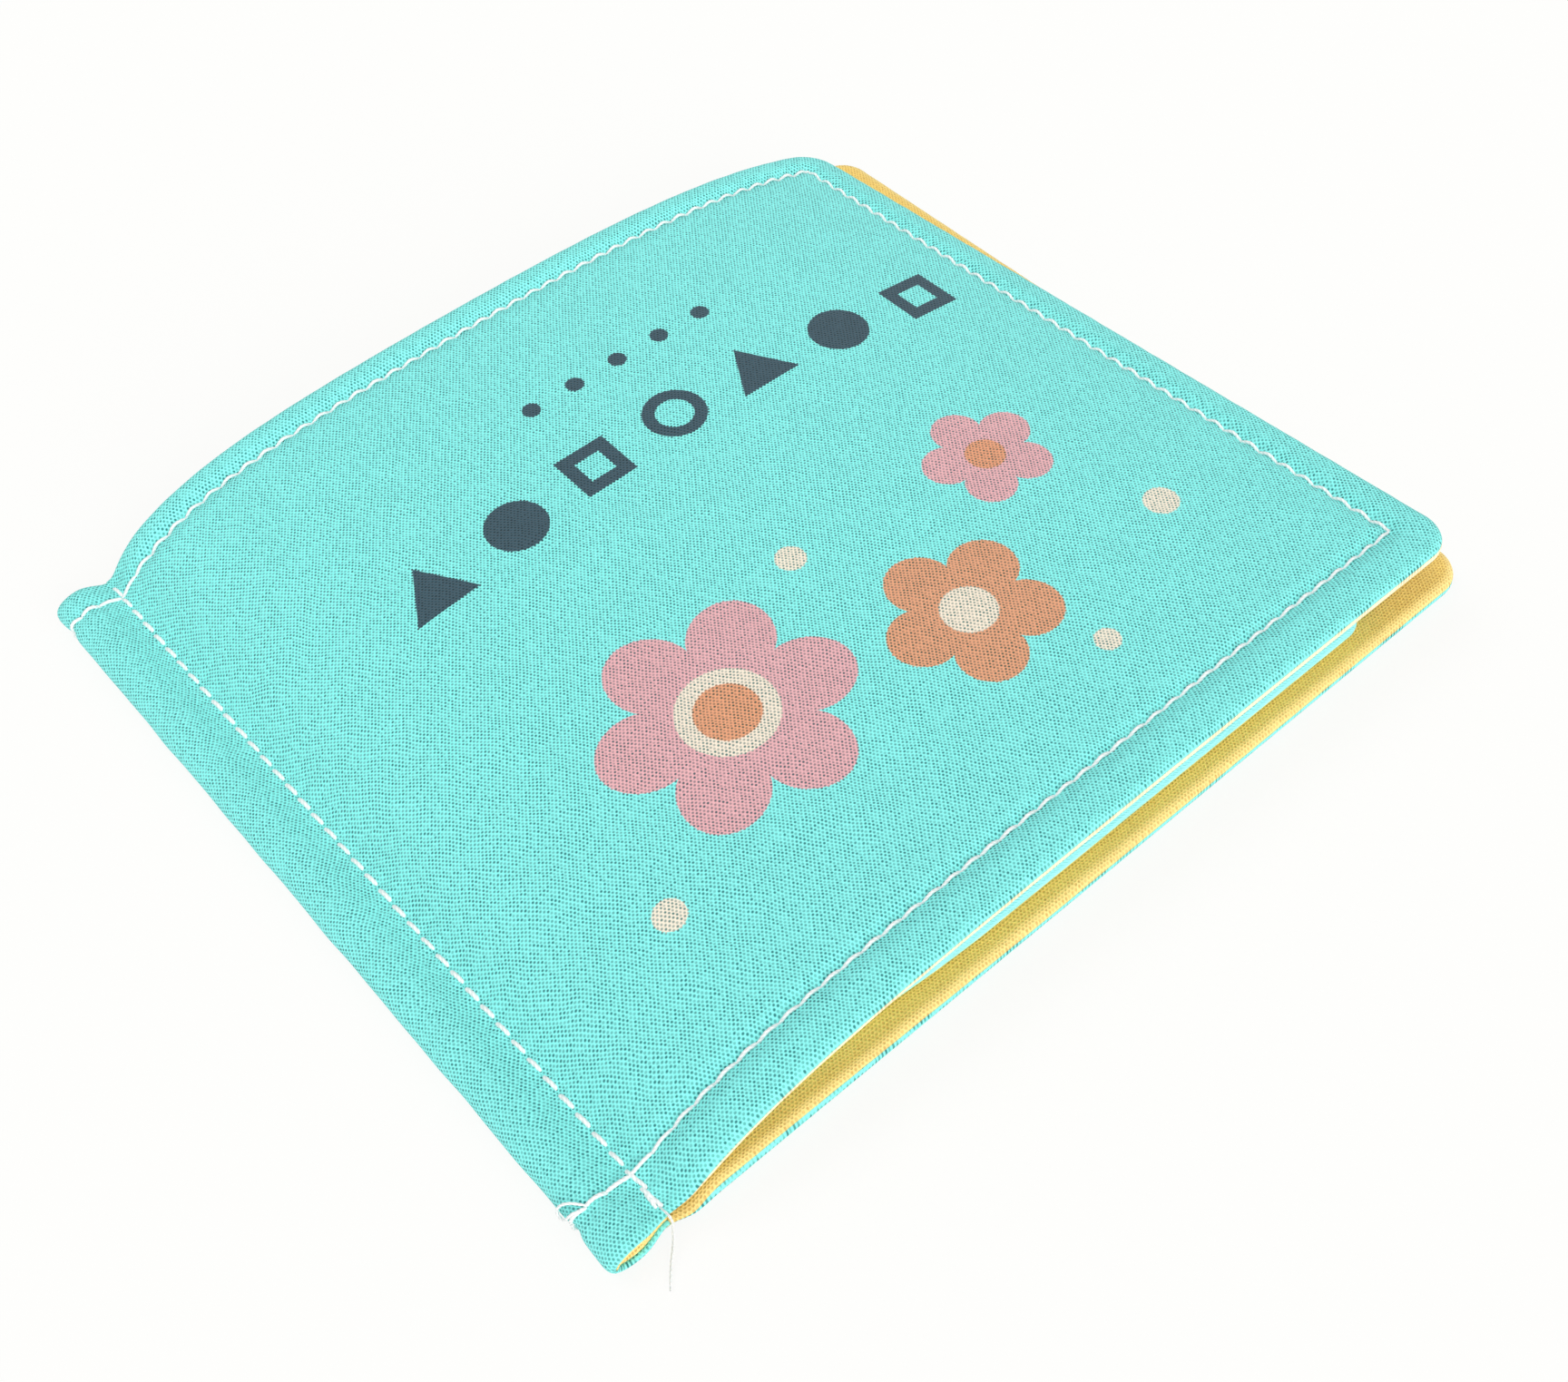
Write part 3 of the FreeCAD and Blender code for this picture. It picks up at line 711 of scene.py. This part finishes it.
# Materials
class Graph:
    """A node material, with arithmetic on sockets."""

    def __init__(self, name):
        self.material = bpy.data.materials.new(name)
        self.material.use_nodes = True
        self.tree = self.material.node_tree
        self.tree.nodes.clear()
        self.output = self.tree.nodes.new("ShaderNodeOutputMaterial")
        self.shader = self.tree.nodes.new("ShaderNodeBsdfPrincipled")
        self.tree.links.new(self.shader.outputs[0], self.output.inputs["Surface"])

    def put(self, socket, value):
        if isinstance(value, bpy.types.NodeSocket):
            self.tree.links.new(value, socket)
        else:
            socket.default_value = value

    def math(self, kind, a, b=None, c=None):
        node = self.tree.nodes.new("ShaderNodeMath")
        node.operation = kind
        for socket, value in zip(node.inputs, (a, b, c)):
            if value is not None:
                self.put(socket, value)
        return node.outputs[0]

    def add(self, a, b):
        return self.math("ADD", a, b)

    def sub(self, a, b):
        return self.math("SUBTRACT", a, b)

    def mul(self, a, b):
        return self.math("MULTIPLY", a, b)

    # Tints one colour by another
    def multiply(self, a, b):
        node = self.tree.nodes.new("ShaderNodeMix")
        node.data_type = "RGBA"
        node.blend_type = "MULTIPLY"
        node.inputs["Factor"].default_value = 1.0
        self.put(node.inputs[6], a)
        self.put(node.inputs[7], b)
        return node.outputs[2]

    # From 0 below low to 1 above high
    def step(self, value, low, high):
        node = self.tree.nodes.new("ShaderNodeMapRange")
        node.interpolation_type = "SMOOTHSTEP"
        self.put(node.inputs["Value"], value)
        node.inputs["From Min"].default_value = min(low, high)
        node.inputs["From Max"].default_value = max(low, high)
        node.inputs["To Min"].default_value = 0.0 if high > low else 1.0
        node.inputs["To Max"].default_value = 1.0 if high > low else 0.0
        return node.outputs["Result"]

    def blend(self, factor, a, b):
        node = self.tree.nodes.new("ShaderNodeMix")
        node.data_type = "RGBA"
        self.put(node.inputs["Factor"], factor)
        self.put(node.inputs[6], a)
        self.put(node.inputs[7], b)
        return node.outputs[2]

    def coords(self, key):
        node = self.tree.nodes.new("ShaderNodeUVMap")
        node.uv_map = key
        split = self.tree.nodes.new("ShaderNodeSeparateXYZ")
        self.tree.links.new(node.outputs[0], split.inputs[0])
        return self.mul(split.outputs[0], 100.0), self.mul(split.outputs[1], 100.0)

    def vector(self, x, y, z=0.0):
        node = self.tree.nodes.new("ShaderNodeCombineXYZ")
        for socket, value in zip(node.inputs, (x, y, z)):
            self.put(socket, value)
        return node.outputs[0]

    def noise(self, vector, scale, detail=2.0):
        node = self.tree.nodes.new("ShaderNodeTexNoise")
        self.tree.links.new(vector, node.inputs["Vector"])
        node.inputs["Scale"].default_value = scale
        node.inputs["Detail"].default_value = detail
        return node.outputs[0]

    def scatter(self, vector):
        node = self.tree.nodes.new("ShaderNodeTexWhiteNoise")
        node.noise_dimensions = "3D"
        self.tree.links.new(vector, node.inputs["Vector"])
        return node.outputs["Value"]

    def bump(self, height, distance, strength=1.0):
        node = self.tree.nodes.new("ShaderNodeBump")
        node.inputs["Distance"].default_value = distance
        node.inputs["Strength"].default_value = strength
        self.tree.links.new(height, node.inputs["Height"])
        self.tree.links.new(node.outputs[0], self.shader.inputs["Normal"])


def linear(r, g, b):
    out = []
    for v in (r, g, b):
        v = v / 255.0
        out.append(v / 12.92 if v <= 0.04045 else ((v + 0.055) / 1.055) ** 2.4)
    return (*out, 1.0)


# Knit in millimetres: distance of the loops along a row and of the rows, size of a dot, width of the
# painted light along an edge
WALE = 0.66
COURSE = 0.46
DOT_INNER = 0.07
DOT_OUTER = 0.27
RIM_LIGHT_WIDTH = 2.2


# Fine jersey knit: rows of small loops with a sunken dot between them, every other row half a step along;
# the dots carry painted shade in the cloth's colour
def knit_height(g, u, v):
    place_vector = g.vector(u, v)
    bend = g.mul(g.sub(g.noise(place_vector, 0.12, 1.0), 0.5), 1.2)
    b = g.math("DIVIDE", g.add(v, bend), COURSE)
    row = g.math("FLOOR", b)
    odd = g.math("FRACT", g.mul(row, 0.5))
    a = g.add(g.math("DIVIDE", g.add(u, bend), WALE), odd)
    cell = g.vector(g.math("FLOOR", a), row)
    uneven = g.scatter(cell)
    off_a = g.mul(g.sub(g.math("FRACT", a), g.add(0.42, g.mul(uneven, 0.16))), WALE)
    off_b = g.mul(g.sub(g.math("FRACT", b), 0.5), COURSE)
    distance = g.math("SQRT", g.add(g.mul(off_a, off_a), g.mul(off_b, off_b)))
    height = g.step(distance, DOT_INNER, DOT_OUTER)
    return height, uneven, place_vector


# Knit cloth: the third colour is painted shade for the sunken dots between its loops, rim the colour of
# painted light along the cloth's edge, mostly a highlight
def cloth_material(name, colour, knit_pit_shade, rim, contrast, print_fields=None):
    g = Graph(name)
    u, v = g.coords("sheet")
    height, uneven, where = knit_height(g, u, v)
    # Painted shade: how far the colour darkens toward the shade tint in the sunken dots between the loops
    dot = g.mul(g.sub(1.0, height), g.add(0.45, g.mul(uneven, 0.65)))
    fine = g.noise(where, 3.1, 3.0)
    broad = g.noise(where, 0.11, 2.0)
    ground = linear(*colour)
    if print_fields:
        ground = print_fields(g, u, v, height, ground)
    distance = g.coords("edge")[0]
    # Painted light along the edge: the colour turns toward the rim colour within about 2 mm of the cloth's
    # edge, paler on the linings and pages
    ground = g.blend(g.mul(g.step(distance, RIM_LIGHT_WIDTH, 0.2), 0.85), ground, linear(*rim))
    base = g.blend(g.mul(dot, contrast), ground, g.multiply(ground, linear(*knit_pit_shade)))
    tone = g.add(0.93, g.add(g.mul(fine, 0.10), g.mul(broad, 0.06)))
    grey = g.tree.nodes.new("ShaderNodeCombineColor")
    for socket in grey.inputs:
        g.tree.links.new(tone, socket)
    g.tree.links.new(g.multiply(base, grey.outputs[0]), g.shader.inputs["Base Color"])
    g.put(g.shader.inputs["Roughness"], g.add(0.82, g.mul(height, 0.12)))
    g.shader.inputs["Specular IOR Level"].default_value = 0.25
    g.shader.inputs["Sheen Weight"].default_value = 0.12
    g.shader.inputs["Sheen Roughness"].default_value = 0.6
    g.bump(g.add(height, g.mul(fine, 0.35)), 0.00016, 0.7)
    return g.material


# Painted shade in the grooves of the thread's twist, then the thread's own white
THREAD_TWIST_SHADE = (234, 240, 240)
THREAD_WHITE = (252, 253, 252)


def thread_material(name):
    g = Graph(name)
    u, v = g.coords("sheet")
    twist = g.math("SINE", g.mul(g.add(g.mul(u, 0.013), g.mul(v, 0.02)), 2 * math.pi))
    # Painted shade: the thread darkens where its twist dips
    shade = g.step(twist, -0.9, 0.6)
    colour = g.blend(shade, linear(*THREAD_TWIST_SHADE), linear(*THREAD_WHITE))
    g.tree.links.new(colour, g.shader.inputs["Base Color"])
    g.put(g.shader.inputs["Roughness"], g.add(0.5, g.mul(shade, 0.15)))
    g.shader.inputs["Specular IOR Level"].default_value = 0.35
    g.bump(twist, 0.00006, 0.6)
    return g.material


# Printed design
INK = (52, 70, 88)
PINK = (243, 180, 186)
ORANGE = (238, 164, 122)
CREAM = (252, 240, 220)

# Places of the print in millimetres: a row of shapes on a low arch, with dots above it
SHAPE_ROW_X = (44.0, 61.0, 78.0, 95.0, 112.0, 129.0, 146.0)
SHAPE_ROW_Y = 101.0
ARCH_RISE = 2.2
ARCH_SPAN = 130.0
DOT_ROW_X = (78.0, 87.0, 96.0, 105.0, 114.0)
DOT_ROW_Y = 120.0
SPOTS = ((88.0, 66.0, 2.6), (139.0, 36.0, 3.0), (35.0, 30.0, 2.6), (112.0, 22.0, 2.2))


def disc(g, u, v, x, y, r):
    square = g.add(g.math("POWER", g.sub(u, x), 2.0), g.math("POWER", g.sub(v, y), 2.0))
    return g.sub(g.math("SQRT", square), r)


def ring(g, u, v, x, y, r, width):
    return g.sub(g.math("ABSOLUTE", disc(g, u, v, x, y, r)), width / 2)


# Distance to a regular polygon with a corner pointing at turn degrees
def polygon(g, u, v, x, y, r, sides, turn):
    worst = None
    for k in range(sides):
        a = math.radians(turn + 180.0 / sides + 360.0 * k / sides)
        along = g.add(g.mul(g.sub(u, x), math.cos(a)), g.mul(g.sub(v, y), math.sin(a)))
        worst = along if worst is None else g.math("MAXIMUM", worst, along)
    return g.sub(worst, r * math.cos(math.pi / sides))


def hollow(g, distance, width):
    return g.math("MAXIMUM", distance, g.mul(g.add(distance, width), -1.0))


# A flower of round petals
def flower(g, u, v, x, y, r, petals, turn):
    dx = g.sub(u, x)
    dy = g.sub(v, y)
    angle = g.math("ARCTAN2", dy, dx)
    lobes = g.math("ABSOLUTE", g.math("COSINE", g.mul(g.add(angle, math.radians(turn)), petals / 2.0)))
    reach = g.add(r * 0.62, g.mul(g.math("POWER", lobes, 0.7), r * 0.38))
    return g.sub(g.math("SQRT", g.add(g.mul(dx, dx), g.mul(dy, dy))), reach)


# Generic shapes and flowers printed on the front cover; the knit roughens their outlines
def front_print(g, u, v, height, ground):
    rough = g.mul(g.sub(height, 0.5), 0.22)

    def lay(colour, distance, base):
        return g.blend(g.mul(g.step(g.add(distance, rough), 0.09, -0.09), 0.96), base, linear(*colour))

    out = ground
    for k, x in enumerate(SHAPE_ROW_X):
        y = SHAPE_ROW_Y + ARCH_RISE * math.cos(2 * math.pi * (x - SHAPE_ROW_X[3]) / ARCH_SPAN)
        kind = k % 4
        if kind == 0:
            shape = polygon(g, u, v, x, y - 0.8, 7.0, 3, 90)
        elif kind == 1:
            shape = disc(g, u, v, x, y, 5.4)
        elif kind == 2:
            shape = hollow(g, polygon(g, u, v, x, y, 7.0, 4, 45), 2.6)
        else:
            shape = ring(g, u, v, x, y, 4.4, 2.4)
        out = lay(INK, shape, out)
    for x in DOT_ROW_X:
        out = lay(INK, disc(g, u, v, x, DOT_ROW_Y, 1.7), out)
    out = lay(PINK, flower(g, u, v, 62.0, 50.0, 21.0, 6, 12.0), out)
    out = lay(CREAM, disc(g, u, v, 62.0, 50.0, 8.0), out)
    out = lay(ORANGE, disc(g, u, v, 62.0, 50.0, 5.2), out)
    out = lay(ORANGE, flower(g, u, v, 101.0, 40.0, 14.5, 5, 40.0), out)
    out = lay(CREAM, disc(g, u, v, 101.0, 40.0, 4.6), out)
    out = lay(PINK, flower(g, u, v, 126.0, 62.0, 11.0, 5, -18.0), out)
    out = lay(ORANGE, disc(g, u, v, 126.0, 62.0, 3.4), out)
    for x, y, r in SPOTS:
        out = lay(CREAM, disc(g, u, v, x, y, r), out)
    return out


TEAL = (143, 250, 245)
# Painted shade for the sunken dots between the teal knit's loops
TEAL_PIT_SHADE = (84, 136, 140)
YELLOW = (255, 220, 122)
# Painted shade for the sunken dots of the yellow knit
YELLOW_PIT_SHADE = (200, 165, 105)

# Painted light on the teal cloth's rounded edges, a touch darker than the teal
TEAL_RIM_LIGHT = (140, 247, 240)

# Second colour of each cloth: painted shade in its knit's dots; rim: painted light along its rounded edge,
# mostly a highlight
outer_front = cloth_material("outer_front", TEAL, TEAL_PIT_SHADE, rim=TEAL_RIM_LIGHT, contrast=1.0,
                             print_fields=front_print)
outer_plain = cloth_material("outer_plain", TEAL, TEAL_PIT_SHADE, rim=TEAL_RIM_LIGHT, contrast=1.0)
lining_front = cloth_material("lining_front", (250, 232, 160), YELLOW_PIT_SHADE, rim=(255, 249, 214),
                              contrast=0.5)
lining_back = cloth_material("lining_back", YELLOW, YELLOW_PIT_SHADE, rim=(255, 232, 152), contrast=0.6)
page_mint = cloth_material("page_mint", (190, 246, 186), (200, 215, 200), rim=(205, 252, 205),
                           contrast=0.3)
page_blue = cloth_material("page_blue", (150, 240, 250), (190, 205, 215), rim=(165, 250, 252),
                           contrast=0.3)
white_thread = thread_material("white_thread")


def front_piece(piece, slot_name, *nodes):
    if nodes:
        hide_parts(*nodes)
    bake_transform(piece)


def back_piece(piece, slot_name, *nodes):
    if nodes:
        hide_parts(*nodes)
    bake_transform(piece)


def spine_part(piece, slot_name, *nodes):
    if nodes:
        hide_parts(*nodes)
    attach(piece, "spine_and_pages")


front_cloth = cover_cloth("front_cloth", True, True, [outer_front, outer_plain])
front_lining = cover_cloth("front_lining", True, False, [lining_front])
back_cloth = cover_cloth("back_cloth", False, True, [outer_plain])
back_lining = cover_cloth("back_lining", False, False, [lining_back])
spine_outer = spine_piece("spine_outer", False, outer_plain)
spine_inner = spine_piece("spine_inner", True, lining_back)
pages = page_piece("pages", [page_mint, page_blue])

front_stitching = cover_threads("front_stitching", True, True, white_thread)
front_inside_stitching = cover_threads("front_inside_stitching", True, False, white_thread)
back_stitching = cover_threads("back_stitching", False, True, white_thread)
back_inside_stitching = cover_threads("back_inside_stitching", False, False, white_thread)


# The seam's thread, thicker, on top and below, with a doubled start at the tail edge
def seam_surface(sign):
    z = FRONT_SEAM_Z + PINCH_HALF if sign > 0 else BACK_SEAM_Z - PINCH_HALF

    def surface(x, y, lift):
        point = np.stack([x, notched(x, y), z + sign * (lift - 0.04) + 0 * x], -1)
        return point, np.zeros_like(point) + np.array([0.0, 0.0, float(sign)])
    return surface


seam_holes = holes(SEAM_FIRST, BOOK_HEIGHT - SEAM_LAST)
seam_top = Threads()
seam_line = [(SEAM_X, y) for y in seam_holes]
run_stitches(seam_top, seam_surface(1), seam_line, SEAM_THREAD, slant=0.14, share=0.80)
for a, b, off in ((1.6, 4.6, -0.42), (0.9, 3.7, 0.34), (4.4, 7.6, 0.38)):
    seam_top.stitch(seam_surface(1), (SEAM_X + off, a), (SEAM_X + off * 0.3, b), SEAM_THREAD * 0.86)
edge_y = EDGE_NOTCH - 0.2
wrap = [(SEAM_X, 2.6, 4.9), (SEAM_X + 0.1, 1.5, 5.15),
        (SEAM_X + 0.2, edge_y - 0.05, 5.0), (SEAM_X + 0.2, edge_y - 0.6, 4.2),
        (SEAM_X, edge_y - 0.9, 3.0), (SEAM_X - 0.9, edge_y - 1.9, 1.6), (SEAM_X - 2.8, edge_y - 3.7, 0.7),
        (SEAM_X - 4.5, edge_y - 5.6, 0.5), (SEAM_X - 5.1, edge_y - 6.3, 0.55)]


# Points of a smooth curve through a short list of points
def curve_through(points, count):
    points = np.asarray(points, float)
    ends = np.concatenate([[2 * points[0] - points[1]], points, [2 * points[-1] - points[-2]]])
    out = []
    for t in np.linspace(0, len(points) - 1, count):
        i = min(int(t), len(points) - 2)
        f = t - i
        p0, p1, p2, p3 = ends[i:i + 4]
        out.append(0.5 * (2 * p1 + (p2 - p0) * f + (2 * p0 - 5 * p1 + 4 * p2 - p3) * f * f
                          + (3 * p1 - p0 - 3 * p2 + p3) * f ** 3))
    return np.array(out)


seam_top.tube(curve_through(wrap, 60), (1, 0, 0), 0.18, taper=0.6)
seam_stitching = seam_top.piece("seam_stitching", white_thread)

seam_low = Threads()
run_stitches(seam_low, seam_surface(-1), seam_line, SEAM_THREAD, slant=0.14, share=0.80)
seam_under = seam_low.piece("seam_under_stitching", white_thread)


def strip_stitching(name, y, slant):
    threads = Threads()
    spots = holes(0.6, STRIP_ALONG[-1] - 0.6)
    middle = STRIP_ALONG[-1] / 2
    line = [(s, y + slant * (1.0 - abs(s / middle - 1.0))) for s in spots]
    run_stitches(threads, strip_point, line, THREAD * 1.12, sink=0.2, share=1.04, taper=0.7)
    return threads.piece(name, white_thread)


strip_head = strip_stitching("spine_head_stitching", BOOK_HEIGHT - STITCH_HEAD, 0.0)
strip_tail = strip_stitching("spine_tail_stitching", STITCH_TAIL, 0.9)

loop_points = []
for s_off, y_off, lift in ((7.4, 8.5, 0.2), (8.0, 9.2, 0.35), (8.7, 10.1, 0.5), (9.6, 10.9, 0.55),
                           (10.6, 11.2, 0.5), (11.2, 10.6, 0.5), (11.1, 9.8, 0.5), (10.4, 9.3, 0.55),
                           (9.4, 9.0, 0.5), (8.5, 8.7, 0.3)):
    loop_points.append(strip_point(np.array([s_off]), np.array([y_off]), np.array([lift]))[0][0])
loop = Threads()
loop.tube(curve_through(loop_points, 60), (0, 0, 1), 0.2, taper=0.7)
thread_loop = loop.piece("thread_loop", white_thread)

front_piece(front_cloth, "outer_cloth", "front_cover_cloth")
front_piece(front_lining, "lining_cloth", "front_cover_lining")
front_piece(front_stitching, "thread", "front_topstitch")
front_piece(front_inside_stitching, "thread")
back_piece(back_cloth, "outer_cloth", "back_cover_cloth")
back_piece(back_lining, "lining_cloth", "back_cover_lining")
back_piece(back_stitching, "thread", "back_topstitch")
back_piece(back_inside_stitching, "thread")
spine_part(spine_outer, "outer_cloth", "spine_cloth")
spine_part(spine_inner, "lining_cloth", "spine_lining")
spine_part(pages, "page_cloth", "page_sheet")
spine_part(seam_stitching, "thread", "seam_needle_thread")
spine_part(seam_under, "thread", "seam_bobbin_thread")
spine_part(strip_head, "thread", "spine_stitch_head")
spine_part(strip_tail, "thread", "spine_stitch_tail")
spine_part(thread_loop, "thread", "loose_thread_loop")

# Floor and light
floor_mesh = bpy.data.meshes.new("floor")
corners = [(-FLOOR_HALF, -FLOOR_HALF, 0), (FLOOR_HALF, -FLOOR_HALF, 0),
           (FLOOR_HALF, FLOOR_HALF, 0), (-FLOOR_HALF, FLOOR_HALF, 0)]
floor_mesh.from_pydata(corners, [], [(0, 1, 2, 3)])
floor = bpy.data.objects.new("floor", floor_mesh)
bpy.context.scene.collection.objects.link(floor)


# 1 for what the camera sees directly, in a mirror or through glass
def seen_by_camera(tree):
    path = tree.nodes.new("ShaderNodeLightPath")
    total = path.outputs["Is Camera Ray"]
    for ray in ("Is Glossy Ray", "Is Transmission Ray"):
        node = tree.nodes.new("ShaderNodeMath")
        node.operation = "ADD"
        node.use_clamp = True
        tree.links.new(total, node.inputs[0])
        tree.links.new(path.outputs[ray], node.inputs[1])
        total = node.outputs[0]
    return total


def mixed(tree, share, first, second, output):
    node = tree.nodes.new("ShaderNodeMixShader")
    tree.links.new(share, node.inputs[0])
    tree.links.new(first.outputs[0], node.inputs[1])
    tree.links.new(second.outputs[0], node.inputs[2])
    tree.links.new(node.outputs[0], tree.nodes.new(output).inputs["Surface"])


def pale_floor():
    material = bpy.data.materials.new("floor")
    material.use_nodes = True
    tree = material.node_tree
    tree.nodes.clear()
    diffuse = tree.nodes.new("ShaderNodeBsdfDiffuse")
    diffuse.inputs["Color"].default_value = (0.9, 0.9, 0.89, 1.0)
    white = tree.nodes.new("ShaderNodeEmission")
    white.inputs["Color"].default_value = (1.0, 1.0, 0.985, 1.0)
    share = tree.nodes.new("ShaderNodeMath")
    share.operation = "MULTIPLY"
    share.inputs[1].default_value = FLOOR_WHITE
    tree.links.new(seen_by_camera(tree), share.inputs[0])
    mixed(tree, share.outputs[0], diffuse, white, "ShaderNodeOutputMaterial")
    return material


def plain_sky(world):
    world.use_nodes = True
    tree = world.node_tree
    tree.nodes.clear()
    shades = []
    for colour, strength in (((1.0, 1.0, 1.0, 1.0), SKY_STRENGTH), ((1.0, 1.0, 0.99, 1.0), 1.0)):
        shade = tree.nodes.new("ShaderNodeBackground")
        shade.inputs["Color"].default_value = colour
        shade.inputs["Strength"].default_value = strength
        shades.append(shade)
    mixed(tree, seen_by_camera(tree), shades[0], shades[1], "ShaderNodeOutputWorld")


floor_mesh.materials.append(pale_floor())
world = bpy.data.worlds.new("studio")
bpy.context.scene.world = world
plain_sky(world)


def lamp(name, direction, strength, angle, colour=(1.0, 1.0, 1.0)):
    data = bpy.data.lights.new(name, "SUN")
    data.color = colour
    data.energy = strength
    data.angle = math.radians(angle)
    obj = bpy.data.objects.new(name, data)
    obj.rotation_euler = Vector(direction).to_track_quat("Z", "Y").to_euler()
    bpy.context.scene.collection.objects.link(obj)
    return obj


lamp("key", (-0.35, 0.55, 1.0), KEY_STRENGTH, 30.0)
lamp("fill", (-0.1, -1.0, 0.40), FILL_STRENGTH, 50.0, (1.0, 0.97, 0.94))
